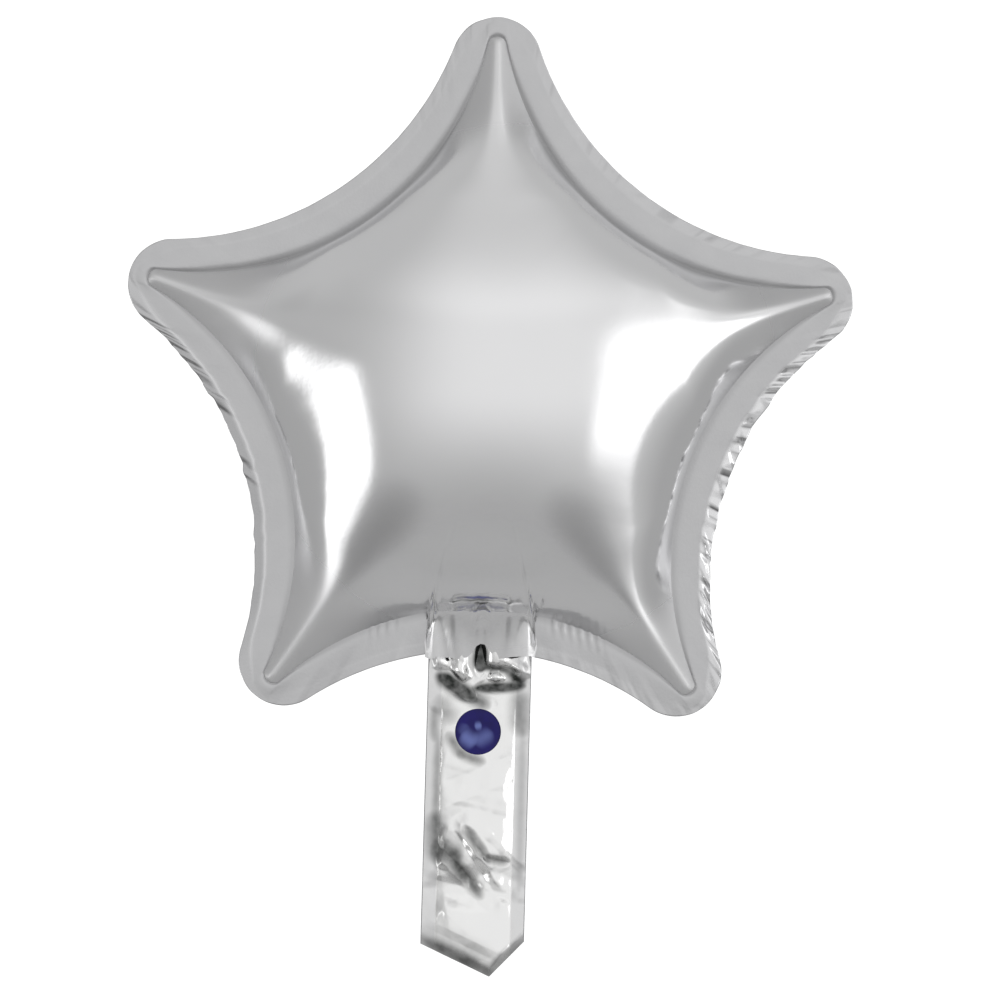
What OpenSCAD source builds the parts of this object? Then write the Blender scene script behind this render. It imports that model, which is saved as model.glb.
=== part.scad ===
// Mini foil star balloon, blown up, with its filling tail hanging below the neck.
// The origin is the middle of the neck, where a ribbon is tied. +Z is up, the front faces -Y.
// The films are drawn thicker than real film, so that each one stays a sound solid.

/* [Star] */
// Distance from the star's middle to the end of each point
point_reach = 117.5; // [105:0.5:140]
// Distance from the star's middle to the bottom of each hollow between two points
hollow_reach = 79; // [72:0.5:84]
// Radius that rounds the end of each point
point_round = 14; // [11:0.5:16]

/* [Heat seal] */
// Width of the flat sealed edge at the hollows
seal_w = 13; // [8:0.5:14]
// Width of the flat sealed edge past the end of each blown-up point
seal_tip = 6; // [5:0.5:9]
// Radius that rounds the end of each blown-up point
body_round = 3; // [2.5:0.5:4]

/* [Fullness] */
// Height of a blown-up point over half its width
fullness = 0.9; // [0.6:0.05:1]
// How squarely the points' ridges run into the middle: more makes the middle thicker
ridge_blend = 3; // [2:0.5:4]

// How roof-like the blown-up points are at their ends: 0 keeps them round
tip_roof = 3; // [0:0.5:4]

/* [Tail] */
// Width of the tail
tail_w = 32; // [30:1:36]
// Length of the tail, from the tied neck to its lowest corner
tail_len = 90.5; // [85:0.5:120]
// Distance from the tied neck to the crease across the tail
crease_drop = 62.5; // [55:0.5:68]
// Width of the sealed strip down each side of the tail
side_seal_w = 4.5; // [3.5:0.5:4.5]
// Length of the neck between the tie and the star's edge
neck_len = 10; // [8:0.5:14]

/* [Filling valve] */
// Radius of the filling hole
hole_r = 7.1; // [5:0.1:7.6]
// Distance from the tied neck down to the middle of the filling hole
hole_drop = 15; // [14:0.5:20]
// How far the valve reaches up inside the star, above the tied neck
valve_rise = 52; // [40:1:70]
// How far the valve reaches down inside the tail, below the tied neck
valve_drop = 42; // [38:1:48]

/* [Film] */
// Thickness of each foil sheet in the tail, the neck and the sealed edge
foil_t = 0.3; // [0.2:0.05:0.4]
// Thickness of the blown-up foil panels
panel_t = 0.6; // [0.5:0.1:1]

/* [Hidden] */

points = 5;
half_pitch = 180 / points;       // angle from a point to the next hollow
star_z = neck_len + hollow_reach; // height of the star's middle
body_hollow = hollow_reach - seal_w;
body_reach = point_reach - seal_tip;

roof_from = 60;     // how far out from the star's middle the points begin to turn roof-like
roof_to = 104;      // and where they are fully so
seal_inset = 1.5;   // how far the sealed edge runs in under the foot of each panel
fold_gap = 1.2;     // clear space on each side of a fold line
touch_gap = 0.05;   // air between parts that only lie side by side
valve_t = 0.2;      // thickness of each valve film
channel_t = 0.1;    // free space between the two valve films
valve_w = tail_w - 2 * side_seal_w - 1;
weld_w = 1.8;       // width of each weld line on the valve
patch_t = 0.06;     // thickness of the blue release coat
patch_r = hole_r + 0.4;
end_seal_w = 3.5;   // width of the seal along the tail's cut end
end_tip_x = 5.5;    // the tail's lowest corner, to the right of its middle
end_left_rise = 9.5; // how much higher than that corner the cut ends at the left edge
end_right_rise = 11; // and at the right edge

arc_steps = 11;     // steps from a point to a hollow, round each dome
edge_steps = 14;    // the same, round the flat outline
outer_rings = 12;   // rings from a dome's middle to its foot, outside
inner_rings = 7;    // and inside

foil = "silver";
seal_foil = "lightgrey";
clear_film = [0.86, 0.9, 0.92, 0.5];
release_blue = "navy";

// ---- The star's outline: five concave arcs, each one running into two round points ----

// [distance of the arc's centre from the star's middle, radius of the arc]
function hollow_circle(reach, round, hollow) =
  let (t = reach - round, w = hollow - round,
       d = (w * w - t * t) / (2 * (w - t * cos(half_pitch))))
  [d, d - hollow];

// Angle at the star's middle from a point's axis to where its round end meets the arc
function meeting_angle(reach, round, hollow) =
  let (c = hollow_circle(reach, round, hollow), t = reach - round,
       dx = c[0] * cos(half_pitch) - t, dy = c[0] * sin(half_pitch), l = norm([dx, dy]))
  atan2(dy / l * round, t + dx / l * round);

// Radius of the outline at angle a, 0 to half_pitch, from a point's axis
function edge_radius(a, reach, round, hollow) =
  let (c = hollow_circle(reach, round, hollow), t = reach - round,
       on_tip = t * cos(a), on_arc = c[0] * cos(half_pitch - a))
  a < meeting_angle(reach, round, hollow)
    ? on_tip + sqrt(max(0, on_tip * on_tip - t * t + round * round))
    : on_arc - sqrt(max(0, on_arc * on_arc - c[0] * c[0] + c[1] * c[1]));

// Angles round the star, closer together near the points
function star_angles(steps) =
  [for (i = [0:points - 1], j = [1 - steps:steps])
    90 + 2 * half_pitch * i + sign(j) * half_pitch * pow(abs(j) / steps, 2)];

// Angle from the nearest point's axis
function from_point(angle) = abs((angle - 90 + half_pitch + 360) % (2 * half_pitch) - half_pitch);

function outline(steps, reach, round, hollow) =
  [for (a = star_angles(steps))
    edge_radius(from_point(a), reach, round, hollow) * [cos(a), sin(a)]];

// ---- The blown-up height over the star's flat plane ----

function arc_centres(c) = [for (i = [0:points - 1]) c[0] * [cos(90 + half_pitch * (2 * i + 1)),
                                                           sin(90 + half_pitch * (2 * i + 1))]];

// Distance of p from each of the five arcs
function arc_gaps(p, c) = [for (m = arc_centres(c)) max(0, norm(p - m) - c[1])];

function add_up(v, i = 0) = i < len(v) ? v[i] + add_up(v, i + 1) : 0;

// An even step from 0 at low to 1 at high
function rise(low, high, v) =
  let (t = min(1, max(0, (v - low) / (high - low)))) t * t * (3 - 2 * t);

// How round the tube is at p: near 0 it is an ellipse across, at -3 it is nearly a roof
function roundness(p) =
  -0.01 - tip_roof * rise(roof_from, roof_to, norm(p) * cos(from_point(atan2(p[1], p[0]))));

// A mean of two gaps: their root product near e = 0, closer to the smaller one for e < 0
function mean(a, b, e) = pow((pow(a, e) + pow(b, e)) / 2, 1 / e);

// A tube between two arcs has a height of fullness times the mean of its two gaps.
// The smallest such mean counts most, so the ridges run smoothly into the middle.
function height(p, c) =
  let (g = arc_gaps(p, c), e = roundness(p))
  min(g) < 1e-6 ? 0
    : fullness * pow(add_up([for (i = [0:points - 2], j = [i + 1:points - 1])
        pow(mean(g[i], g[j], e), -2 * ridge_blend)]), -0.5 / ridge_blend);

// One ring of a dome: the outline shrunk by s, lifted to the blown-up height
function ring(s, inset, c) =
  [for (q = outline(arc_steps, body_reach - inset, body_round - inset, body_hollow - inset))
    let (p = s * q) [p[0], -foil_t - (s < 1 ? height(p, c) : 0), star_z + p[1]]];

// The arcs beside a body drawn in by inset
function body_arcs(inset) =
  hollow_circle(body_reach - inset, body_round - inset, body_hollow - inset);

function dome_rings(n, inset) =
  let (c = body_arcs(inset))
  [for (i = [1:n]) each ring(sin(90 * i / n), inset, c)];

// A closed shell between an outer and an inner dome, open only towards the star's flat plane
module dome() {
  m = 2 * arc_steps * points;
  top = [0, -foil_t - height([0, 0], body_arcs(0)), star_z];
  under = [0, -foil_t - height([0, 0], body_arcs(panel_t)), star_z];
  pts = concat([top], dome_rings(outer_rings, 0), dome_rings(inner_rings, panel_t), [under]);
  inner0 = 1 + outer_rings * m;          // first point of the first inner ring
  last = inner0 + inner_rings * m;       // the inner dome's middle
  outer_foot = 1 + (outer_rings - 1) * m;
  inner_foot = inner0 + (inner_rings - 1) * m;
  faces = concat(
    [for (k = [0:m - 1]) [0, 1 + k, 1 + (k + 1) % m]],
    [for (r = [0:outer_rings - 2], k = [0:m - 1], f = strip(1 + r * m, 1 + (r + 1) * m, k, m)) f],
    [for (k = [0:m - 1], f = strip(outer_foot, inner_foot, k, m)) f],
    [for (r = [inner_rings - 1:-1:1], k = [0:m - 1],
          f = strip(inner0 + r * m, inner0 + (r - 1) * m, k, m)) f],
    [for (k = [0:m - 1]) [inner0 + k, last, inner0 + (k + 1) % m]]);
  polyhedron(pts, faces);
}

// Two triangles between neighbouring points k and k + 1 of two rings of m points
function strip(a, b, k, m) =
  let (n = (k + 1) % m) [[a + k, b + k, b + n], [a + k, b + n, a + n]];

// ---- Flat sheets, drawn in X and Z ----

// Stands a flat drawing up between y0 and y1
module sheet(y0, y1) {
  translate([0, y1, 0]) rotate([90, 0, 0]) linear_extrude(y1 - y0) children();
}

// A drawing up to gap below the arc at the star's bottom hollow
module below_hollow(reach, round, hollow, gap) {
  c = hollow_circle(reach, round, hollow);
  intersection() {
    children();
    translate([0, star_z - c[0]]) circle(c[1] - gap, $fn = 360);
  }
}

// A strip of width w between two heights
module strip_2d(w, z0, z1) {
  translate([-w / 2, z0]) square([w, z1 - z0]);
}

// Two strips down the sides of a band of width w
module side_strips(w, strip_w, z0, z1) {
  for (s = [-1, 1]) translate([s * (w - strip_w) / 2, 0]) strip_2d(strip_w, z0, z1);
}

// The tail below the crease, with its end cut to a blunt corner
module tail_end_2d(inset = 0) {
  w = tail_w / 2 - (inset > 0 ? side_seal_w : 0);
  z0 = -tail_len + inset;
  polygon([[-w, -crease_drop - fold_gap], [-w, z0 + end_left_rise], [end_tip_x, z0],
           [w, z0 + end_right_rise], [w, -crease_drop - fold_gap]]);
}

module tail_2d() {
  strip_2d(tail_w, -crease_drop + fold_gap, -fold_gap);
}

module neck_2d() {
  below_hollow(body_reach, body_round, body_hollow, touch_gap)
    strip_2d(tail_w, fold_gap, star_z);
}

module filling_hole_2d() {
  translate([0, -hole_drop]) circle(hole_r, $fn = 96);
}

// ---- The star ----

module front_panel() {
  color(foil) dome();
}

module rear_panel() {
  color(foil) mirror([0, 1, 0]) dome();
}

module edge_seal() {
  color(seal_foil) sheet(-foil_t, foil_t) difference() {
    translate([0, star_z])
      polygon(outline(edge_steps, point_reach, point_round, hollow_reach));
    translate([0, star_z])
      polygon(outline(edge_steps, body_reach - seal_inset, body_round - seal_inset,
                      body_hollow - seal_inset));
    strip_2d(tail_w - 2 * side_seal_w, 0, star_z / 2);
  }
}

// ---- The neck, from the star's edge to the tie ----

module neck_front_leaf() {
  color(foil) sheet(-2 * foil_t, -foil_t) neck_2d();
}

module neck_rear_leaf() {
  color(foil) sheet(foil_t, 2 * foil_t) neck_2d();
}

module neck_side_seals() {
  color(seal_foil) sheet(-foil_t, foil_t)
    below_hollow(point_reach, point_round, hollow_reach, touch_gap)
      side_strips(tail_w, side_seal_w, fold_gap, star_z);
}

// ---- The tail, from the tie to the crease ----

module tail_front_leaf() {
  color(foil) sheet(-2 * foil_t, -foil_t) difference() {
    tail_2d();
    filling_hole_2d();
  }
}

module tail_rear_leaf() {
  color(foil) sheet(foil_t, 2 * foil_t) tail_2d();
}

module tail_side_seals() {
  color(seal_foil) sheet(-foil_t, foil_t)
    side_strips(tail_w, side_seal_w, -crease_drop + fold_gap, -fold_gap);
}

// ---- The end of the tail, below the crease ----

module tail_end_front_leaf() {
  color(foil) sheet(-2 * foil_t, -foil_t) tail_end_2d();
}

module tail_end_rear_leaf() {
  color(foil) sheet(foil_t, 2 * foil_t) tail_end_2d();
}

module tail_end_seal() {
  color(seal_foil) sheet(-foil_t, foil_t) difference() {
    tail_end_2d();
    tail_end_2d(end_seal_w);
  }
}

// ---- The self-closing valve: two clear films welded down both sides ----

// One valve film on the side s, -1 in front and 1 behind, between two heights
module valve_film(s, z0, z1, hole = false) {
  near = s * channel_t / 2;
  far = s * (channel_t / 2 + valve_t);
  color(clear_film) sheet(min(near, far), max(near, far)) difference() {
    strip_2d(valve_w, z0, z1);
    if (hole) filling_hole_2d();
  }
}

module valve_top_front_film() {
  valve_film(-1, fold_gap, valve_rise);
}

module valve_top_rear_film() {
  valve_film(1, fold_gap, valve_rise);
}

module valve_top_welds() {
  color(clear_film) sheet(-channel_t / 2, channel_t / 2)
    side_strips(valve_w, weld_w, fold_gap, valve_rise);
}

module valve_front_film() {
  valve_film(-1, -valve_drop, -fold_gap, true);
}

module valve_rear_film() {
  valve_film(1, -valve_drop, -fold_gap);
}

// The weld lines in the tail join below the hole, so that air can only go up
module valve_welds() {
  color(clear_film) sheet(-channel_t / 2, channel_t / 2) union() {
    side_strips(valve_w, weld_w, -valve_drop, -fold_gap);
    strip_2d(valve_w, -valve_drop, -valve_drop + 2 * weld_w);
  }
}

// The blue release coat on the rear valve film, seen through the filling hole
module release_patch() {
  color(release_blue) sheet(channel_t / 2 - patch_t, channel_t / 2)
    translate([0, -hole_drop]) circle(patch_r, $fn = 96);
}

front_panel();
rear_panel();
edge_seal();
neck_front_leaf();
neck_rear_leaf();
neck_side_seals();
valve_top_front_film();
valve_top_rear_film();
valve_top_welds();
tail_front_leaf();
tail_rear_leaf();
tail_side_seals();
valve_front_film();
valve_rear_film();
valve_welds();
release_patch();
tail_end_front_leaf();
tail_end_rear_leaf();
tail_end_seal();
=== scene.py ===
# %% [markdown]
# # A star foil balloon
#
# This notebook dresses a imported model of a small, inflated foil star: two silver skins welded
# round a flat edge, and below them a filling tail with a round hole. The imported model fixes
# every size and every joint. What is left is the film itself, which is all about how thin
# metal-coated plastic bends: smooth where gas stretches it, puckered where it can't stretch,
# and crumpled into flat little facets where nothing holds it.

import bpy
import numpy as np
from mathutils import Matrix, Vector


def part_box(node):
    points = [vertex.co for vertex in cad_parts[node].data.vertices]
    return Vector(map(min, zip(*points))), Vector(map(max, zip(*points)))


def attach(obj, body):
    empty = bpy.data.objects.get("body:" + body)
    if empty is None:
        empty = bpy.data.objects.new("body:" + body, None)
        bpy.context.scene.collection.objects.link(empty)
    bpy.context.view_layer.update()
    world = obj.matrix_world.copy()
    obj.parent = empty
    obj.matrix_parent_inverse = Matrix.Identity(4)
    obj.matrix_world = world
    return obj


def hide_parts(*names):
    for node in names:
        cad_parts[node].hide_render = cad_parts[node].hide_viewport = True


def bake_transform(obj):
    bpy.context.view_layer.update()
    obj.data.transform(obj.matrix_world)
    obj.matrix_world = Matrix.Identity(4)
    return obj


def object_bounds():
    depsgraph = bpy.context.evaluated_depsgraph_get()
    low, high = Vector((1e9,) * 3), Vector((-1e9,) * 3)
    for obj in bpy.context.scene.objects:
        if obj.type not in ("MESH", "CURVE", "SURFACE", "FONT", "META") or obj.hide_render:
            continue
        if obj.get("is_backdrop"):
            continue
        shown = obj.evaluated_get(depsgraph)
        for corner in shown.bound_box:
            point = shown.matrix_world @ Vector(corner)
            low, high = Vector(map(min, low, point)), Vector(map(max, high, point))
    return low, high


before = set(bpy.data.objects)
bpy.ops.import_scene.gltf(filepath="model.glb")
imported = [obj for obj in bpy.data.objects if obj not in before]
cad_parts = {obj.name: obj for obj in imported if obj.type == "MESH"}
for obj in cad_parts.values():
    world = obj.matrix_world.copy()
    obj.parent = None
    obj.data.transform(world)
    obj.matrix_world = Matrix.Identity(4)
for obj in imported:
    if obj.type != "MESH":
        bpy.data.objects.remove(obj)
cad_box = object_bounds()
MM = 0.001

# %% [markdown]
# ## Sizes
#
# The star's outline is five hollow arcs that run into five rounded points. Its size is read
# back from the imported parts, so the skins land exactly on them. Only what a box can't tell is
# written here: how round the points are and how wide the sealed edge is.

# %% Read the star's sizes from the model
POINTS = 5
HALF_PITCH = np.pi / POINTS            # angle from a point to the next hollow
POINT_ROUND = 14 * MM
BODY_ROUND = 3 * MM                    # the same, for the blown-up body inside the sealed edge
SEAL_WIDTH = 13 * MM                   # the sealed edge, at the middle of each hollow
SEAL_INSET = 1.5 * MM                  # how far it runs in under the foot of each skin
FULLNESS = 0.9                         # height of a point over half its width
RIDGE_BLEND = 3                        # how squarely the points' ridges run into the middle
TIP_ROOF = 3                           # how roof-like the points are at their ends
ROOF_FROM, ROOF_TO = 60 * MM, 104 * MM   # how far out along a point they turn from round to roof
FILM = 0.1 * MM                        # thickness of one film

seal_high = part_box("edge_seal")[1]
panel_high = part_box("front_panel")[1]
POINT_REACH = (seal_high.x - POINT_ROUND) / np.cos(HALF_PITCH / 2) + POINT_ROUND
STAR_Z = seal_high.z - POINT_REACH
BODY_REACH = panel_high.z - STAR_Z
BODY_HOLLOW = STAR_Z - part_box("neck_front_leaf")[1].z
HOLLOW_REACH = BODY_HOLLOW + SEAL_WIDTH
print(f"point {POINT_REACH / MM:.1f}, hollow {HOLLOW_REACH / MM:.1f}, middle at {STAR_Z / MM:.1f} mm")

# %% Read the tail's sizes
tail_low, tail_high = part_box("tail_rear_leaf")
end_low, end_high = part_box("tail_end_rear_leaf")
valve_low, valve_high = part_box("valve_rear_film")
patch_low, patch_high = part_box("release_patch")
TAIL_HALF = tail_high.x
END_Z = end_low.z
HOLE_Z = (patch_low.z + patch_high.z) / 2
HOLE_R = 7.1 * MM
SIDE_SEAL = 4.5 * MM
POUCH_HALF = TAIL_HALF - SIDE_SEAL
SPLIT_Z = -45 * MM                     # where the upper and the lower skins of the tail meet

# %% [markdown]
# ## The camera
#
# A small shiny thing is best seen from far off through a long lens, so that its outline keeps
# its true proportions and the camera shows as little as possible in the metal. The balloon
# hangs a touch clockwise, so the camera leans the same way.

# %% Set the camera
FRAME_WIDTH = 310 * MM                 # what the picture spans at the star's mid-plane
CAMERA_DISTANCE = 1.5
LEAN = np.radians(1.6)
AIM_X, AIM_Z = 4.8 * MM, 56.9 * MM     # what the middle of the picture shows
SENSOR = 36

camera_data = bpy.data.cameras.new("camera")
camera_data.sensor_width = SENSOR
camera_data.lens = SENSOR * CAMERA_DISTANCE / FRAME_WIDTH
camera_data.clip_end = 100
camera = bpy.data.objects.new("camera", camera_data)
camera.location = (AIM_X, -CAMERA_DISTANCE, AIM_Z)
camera.rotation_euler = (np.pi / 2, -LEAN, 0)
bpy.context.scene.collection.objects.link(camera)
bpy.context.scene.camera = camera
bpy.context.scene.view_settings.view_transform = "Standard"
print(f"lens {camera_data.lens:.0f} mm")

# %% [markdown]
# ## From arrays to meshes
#
# Every piece here is a grid: a function gives a point for each pair of parameters, numpy works
# out all the points at once, and the grid's cells become the mesh's faces. A grid may close on
# itself round one way, as a ring does.

# %% Grids to meshes
def link_mesh(name, points, faces):
    """A mesh object from an (n, 3) array of points and a list of face arrays."""
    mesh = bpy.data.meshes.new(name)
    mesh.from_pydata(points.tolist(), [], [f for block in faces for f in block.tolist()])
    mesh.polygons.foreach_set("use_smooth", np.ones(len(mesh.polygons), bool))
    mesh.update()
    piece = bpy.data.objects.new(name, mesh)
    bpy.context.scene.collection.objects.link(piece)
    return piece


def mark(piece, name, values):
    """Keeps one number for each point of a piece, for its material to read."""
    layer = piece.data.attributes.new(name, "FLOAT", "POINT")
    layer.data.foreach_set("value", np.ascontiguousarray(values, float))


def grid_faces(rows, columns, closed=False, first=0):
    """Quads between neighbours of a rows by columns grid whose points count along each row."""
    row = np.arange(rows - 1)[:, None]
    column = np.arange(columns if closed else columns - 1)[None, :]
    after = (column + 1) % columns
    corners = (row * columns + column, row * columns + after,
               (row + 1) * columns + after, (row + 1) * columns + column)
    return np.stack([np.broadcast_to(c, (rows - 1, column.size)).ravel() for c in corners], 1) + first


def flipped(faces):
    """The same faces, looking the other way."""
    return faces[:, ::-1]


def disc_faces(rings, columns):
    """Rings round point 0: a fan of triangles in the middle, and a closed grid."""
    column = np.arange(columns)
    fan = np.stack([np.zeros_like(column), 1 + column, 1 + (column + 1) % columns], 1)
    return [flipped(fan), grid_faces(rings, columns, closed=True, first=1)]


def stacked(*parts):
    """Joins x, y and z arrays into an (n, 3) array of points."""
    return np.stack([np.ravel(p) for p in np.broadcast_arrays(*parts)], 1)


def step(low, high, value):
    """0 below low, 1 above high, and an even slope-free rise between them."""
    t = np.clip((value - low) / (high - low), 0, 1)
    return t * t * (3 - 2 * t)


# %% [markdown]
# A film is a surface with a hair of thickness. Its back is the same surface, moved a little,
# and a thin strip closes it along every border. The border edges are marked sharp, so that
# the strip doesn't bend the shading of the mirror beside it.

# %% A closed film from an open surface
def film_shell(name, points, blocks, thickness):
    """The surface, a copy moved by thickness along Y, and border strips that join them."""
    count = len(points)
    edges = np.vstack([np.stack([f[:, k], f[:, (k + 1) % f.shape[1]]], 1)
                       for f in blocks for k in range(f.shape[1])])
    forward, backward = edges[:, 0] * count + edges[:, 1], edges[:, 1] * count + edges[:, 0]
    border = edges[~np.isin(forward, backward)]
    a, b = border[:, 0], border[:, 1]
    strip = np.stack([b, a, a + count, b + count], 1)
    back = [flipped(f) + count for f in blocks]
    piece = link_mesh(name, np.vstack([points, points + [0, thickness, 0]]), [*blocks, *back, strip])
    ends = np.zeros(2 * len(piece.data.edges), int)
    piece.data.edges.foreach_get("vertices", ends)
    ends = np.sort(ends.reshape(-1, 2), axis=1)
    rims = np.sort(np.vstack([border, border + count]), axis=1)
    sharp = np.isin(ends[:, 0] * 2 * count + ends[:, 1], rims[:, 0] * 2 * count + rims[:, 1])
    piece.data.edges.foreach_set("use_edge_sharp", sharp)
    return piece


# %% [markdown]
# ## The star's outline
#
# Each hollow is an arc of a circle whose centre lies outside the star. The arc's radius is the
# one that lets it run smoothly into the round ends of the two points beside it.

# %% The outline as a formula
def hollow_circle(reach, rounding, hollow):
    """Distance of the arc's centre from the star's middle, and the arc's radius.

    With t = reach - rounding and w = hollow - rounding the distance d solves
    |d at half a pitch - t on the axis| = d - w, so both circles touch.
    """
    t, w = reach - rounding, hollow - rounding
    distance = (w * w - t * t) / (2 * (w - t * np.cos(HALF_PITCH)))
    return distance, distance - hollow


def outline_radius(angle, reach, rounding, hollow):
    """Distance of the outline from the star's middle, in the direction of an angle."""
    distance, arc = hollow_circle(reach, rounding, hollow)
    t = reach - rounding
    off_axis = np.abs((angle - np.pi / 2 + HALF_PITCH) % (2 * HALF_PITCH) - HALF_PITCH)
    on_tip, on_arc = t * np.cos(off_axis), distance * np.cos(HALF_PITCH - off_axis)
    tip = on_tip + np.sqrt(np.maximum(0, on_tip**2 - t**2 + rounding**2))
    hollow_side = on_arc - np.sqrt(np.maximum(0, on_arc**2 - distance**2 + arc**2))
    meeting = np.array([distance * np.cos(HALF_PITCH) - t, distance * np.sin(HALF_PITCH)])
    meeting = np.array([t, 0]) + meeting / np.linalg.norm(meeting) * rounding
    return np.where(off_axis < np.arctan2(meeting[1], meeting[0]), tip, hollow_side)


ARC_DISTANCE, ARC_RADIUS = hollow_circle(BODY_REACH, BODY_ROUND, BODY_HOLLOW)
HOLLOW_ANGLES = np.pi / 2 + HALF_PITCH * (2 * np.arange(POINTS) + 1)
BOTTOM = 2                             # the bottom hollow's place among them
print("hollows at", np.degrees(HOLLOW_ANGLES) % 360, "degrees")


# %% Where a point lies beside each hollow
def beside_hollows(x, z):
    """For each hollow: how far a point is from its arc, and how far along the arc.

    Along is measured from the hollow's middle, anticlockwise round the arc's own centre.
    """
    gaps, alongs = [], []
    for angle in HOLLOW_ANGLES:
        dx, dz = x - ARC_DISTANCE * np.cos(angle), z - STAR_Z - ARC_DISTANCE * np.sin(angle)
        turn = np.arctan2(dz, dx) - angle - np.pi
        gaps.append(np.hypot(dx, dz) - ARC_RADIUS)
        alongs.append(((turn + np.pi) % (2 * np.pi) - np.pi) * ARC_RADIUS)
    return np.array(gaps), np.array(alongs)


# %% [markdown]
# ## The blown-up form
#
# Foil doesn't stretch. Gas turns each point of the star into a tube, nearly round across, and
# the five tubes run together in the middle as one dome. Between two sealed edges a tube's
# height is the root of the product of the distances to both edges. The star has five edges,
# so each pair of them gives a height, and a soft minimum over the pairs joins them. Towards
# the ends of the points there is little gas, and the film stands like a roof with flat slopes.

# %% The height of the gas-filled skin
def blown_height(x, z, gaps):
    """fullness * (sum over pairs of mean(gap_i, gap_j)^-2q)^(-1 / 2q), and 0 on the outline.

    mean^e = (gap_i^e + gap_j^e) / 2. With e near 0 a tube is an ellipse across; with e = -3 it is
    nearly a roof. Past the middle of a point's round end, the height rounds off to 0:
    times (1 - (past / round)^2)^(1/2).
    """
    gaps = np.maximum(gaps, 1e-9) / MM
    angle = np.arctan2(z - STAR_Z, x)
    off_axis = np.abs((angle - np.pi / 2 + HALF_PITCH) % (2 * HALF_PITCH) - HALF_PITCH)
    far = np.hypot(x, z - STAR_Z) * np.cos(off_axis)
    e = -0.01 - TIP_ROOF * step(ROOF_FROM, ROOF_TO, far)
    total = 0
    for i in range(POINTS):
        for j in range(i + 1, POINTS):
            mean = ((gaps[i] ** e + gaps[j] ** e) / 2) ** (1 / e)
            total = total + mean ** (-2.0 * RIDGE_BLEND)
    past = np.maximum(0, far - BODY_REACH + BODY_ROUND) / BODY_ROUND
    end = np.sqrt(np.maximum(0, 1 - past**2))
    return FULLNESS * total ** (-0.5 / RIDGE_BLEND) * MM * end


# %% [markdown]
# ## Random, but the same each time
#
# Film creases along straight lines and stays flat between them. A row of random heights
# joined by straight lines has just that look across one direction, and several such rows laid
# over each other at different angles give the flat little facets of crumpled foil.

# %% Creased and smooth noise
KNOTS = 400                            # how many random heights a row has


def creased(t, cell, seed):
    """Straight lines between random heights in -1..1, at random places about a cell apart."""
    rng = np.random.default_rng(seed)
    knots = (np.arange(KNOTS) - KNOTS / 2 + rng.uniform(-0.35, 0.35, KNOTS)) * cell
    return np.interp(t, knots, rng.uniform(-1, 1, KNOTS))


def rolling(t, cell, seed):
    """The same heights, a cell apart, joined by smooth steps."""
    heights = np.random.default_rng(seed).uniform(-1, 1, KNOTS)
    k = np.floor(t / cell).astype(int)
    f = step(0, 1, t / cell - k)
    return heights[k % KNOTS] * (1 - f) + heights[(k + 1) % KNOTS] * f


def crumpled(x, z, cell, seed, ways=5):
    """The mean of creased rows laid at several angles across a flat sheet."""
    angles = np.pi * (np.arange(ways) + 0.5 * np.random.default_rng(seed).uniform(size=ways)) / ways
    return sum(creased(x * np.cos(a) + z * np.sin(a), cell, seed + 10 * k)
               for k, a in enumerate(angles)) / ways * 2


# %% [markdown]
# ## Puckers
#
# Where the flat film has to follow the star's shorter, blown-up edge, the spare length goes
# into puckers that stand square to the seal: fine and many at the seal, fewer and softer
# further in. They are strongest beside the neck, clear in the two side hollows and faint in
# the two upper ones, so each hollow has its own strength.

# %% Puckers beside the seal
#                  upper left  left  bottom  right  upper right
PUCKER_STRENGTH = (0.25, 0.25, 0.8, 0.25, 0.3)


def puckers(gaps, alongs, seed):
    """Sum over hollows and pucker sizes of height * creased(along) * exp(-gap / reach)."""
    total = 0
    for k, strength in enumerate(PUCKER_STRENGTH):
        near = strength * step(62 * MM, 40 * MM, np.abs(alongs[k]))
        gap, along = np.maximum(gaps[k], 0), alongs[k]
        for height, cell, reach in ((0.30, 2.6, 4), (0.5, 5.5, 7), (0.6, 12, 12)):
            wave = creased(along, cell * MM, seed + 7 * k) + 0.5 * rolling(along, cell * MM, seed + k)
            total = total + near * height * MM * wave * np.exp(-gap / (reach * MM))
    return total


# %% [markdown]
# ## Single folds
#
# Some creases are not random: a hand or a ribbon made them. Each is a straight crest, given by
# its two ends, a half width and a height towards the viewer, all in millimetres; a negative
# height is a groove. A facet is a flat strip beside a line that climbs by its rise, and then
# falls back over its run.

# %% Folds and facets
def folds(x, z, table):
    """Sum of height * taper * step(1 - distance from the crest / reach).

    With share 0..1 along a crest, taper = 1 - (2 share - 1)^4 and reach = half width *
    (0.25 + 0.75 taper): a fold narrows and runs out to nothing at both ends. The distance is
    rounded off close to the crest.
    """
    total = 0 * x
    for x0, z0, x1, z1, half, height in np.array(table) * MM:
        dx, dz = x1 - x0, z1 - z0
        share = ((x - x0) * dx + (z - z0) * dz) / (dx * dx + dz * dz)
        taper = np.maximum(0, 1 - (2 * share - 1) ** 4)
        away = np.abs((x - x0) * dz - (z - z0) * dx) / np.hypot(dx, dz)
        reach = half * (0.25 + 0.75 * taper)
        total = total + height * taper * step(0, 1, 1 - np.sqrt(away**2 + (0.12 * half) ** 2) / reach)
    return total


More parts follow.
